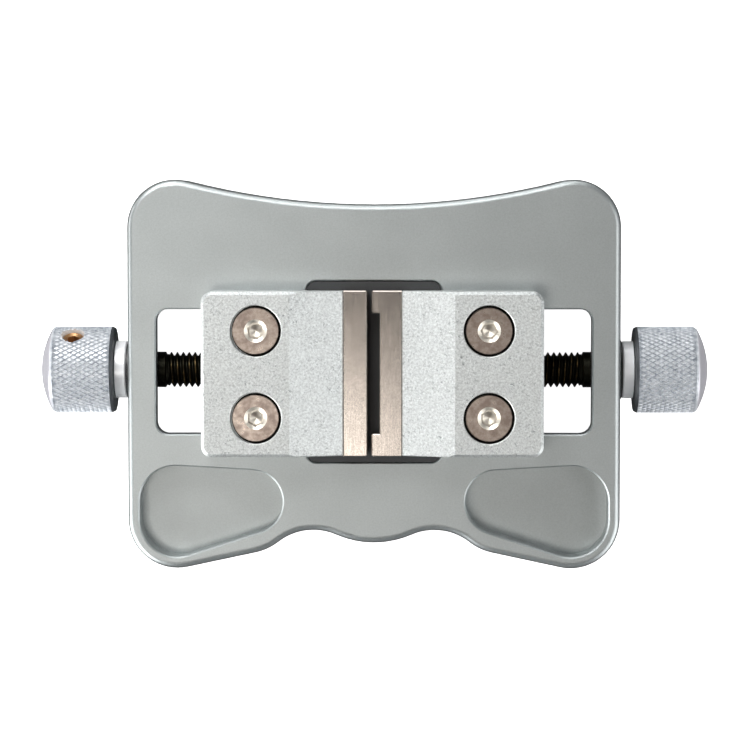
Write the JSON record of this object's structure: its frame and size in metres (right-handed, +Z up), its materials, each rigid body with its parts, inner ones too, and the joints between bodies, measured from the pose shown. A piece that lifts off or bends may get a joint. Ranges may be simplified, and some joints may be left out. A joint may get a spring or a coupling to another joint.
{
  "type": "pcb holder vise",
  "caption": "Small self-centring vise for circuit boards: flat aluminium base, left and right hand lead screw with knurled knobs, two sloped jaw blocks with steel inserts.",
  "frame": {"origin": "on the table, under the middle of the vise", "axes": "+X along the lead screw, +Y from the finger recesses to the plain back edge, +Z up"},
  "size_m": [0.112, 0.0648, 0.0241],
  "materials": {
    "base_aluminium": "bead blasted and anodised",
    "jaw_aluminium": "sand blasted",
    "insert_steel": "ground",
    "slider_steel": "milled",
    "black_steel": "black oxide, oiled",
    "knob_steel": "nickel plated, diamond knurled",
    "stainless": "turned",
    "set_screw_copper": "copper plated",
    "bronze": "turned",
    "washer_black": "matt",
    "black_pad": "matt",
    "foot_rubber": "matt"
  },
  "bodies": {
    "base": {"base_plate": "base_aluminium", "centre_pad": "black_pad", "pad_screws": "stainless", "foot_back_right": "foot_rubber", "foot_back_left": "foot_rubber", "foot_front_right": "foot_rubber", "foot_front_left": "foot_rubber", "bush_right": "bronze", "bush_left": "bronze", "thrust_washer_right": "washer_black", "thrust_washer_left": "washer_black"},
    "spindle": {"lead_screw": "black_steel", "knob_right": "knob_steel", "knob_left": "knob_steel", "set_screw_right": "set_screw_copper", "set_screw_left": "set_screw_copper"},
    "right_jaw": {"jaw_block_right": "jaw_aluminium", "insert_right": "insert_steel", "insert_screws_right": "stainless", "jaw_screws_right": "stainless", "slider_right": "slider_steel", "nut_right": "bronze"},
    "left_jaw": {"jaw_block_left": "jaw_aluminium", "insert_left": "insert_steel", "insert_screws_left": "stainless", "jaw_screws_left": "stainless", "slider_left": "slider_steel", "nut_left": "bronze"}
  },
  "joints": [
    {"name": "spindle_turn", "type": "hinge", "parent": "base", "child": "spindle", "pos_m": [0, 0.0005, 0.009], "axis": [1, 0, 0], "range_deg": [-127, 3709]},
    {"name": "right_jaw_slide", "type": "slide", "parent": "base", "child": "right_jaw", "axis": [1, 0, 0], "range_m": [-0.00035, 0.0103]},
    {"name": "left_jaw_slide", "type": "slide", "parent": "base", "child": "left_jaw", "axis": [-1, 0, 0], "range_m": [-0.00035, 0.0103]}
  ],
  "couplings": [
    {"joint": "spindle_turn", "follows": "right_jaw_slide", "rad_per_m": 6283.2},
    {"joint": "left_jaw_slide", "follows": "right_jaw_slide", "ratio": 1}
  ]
}
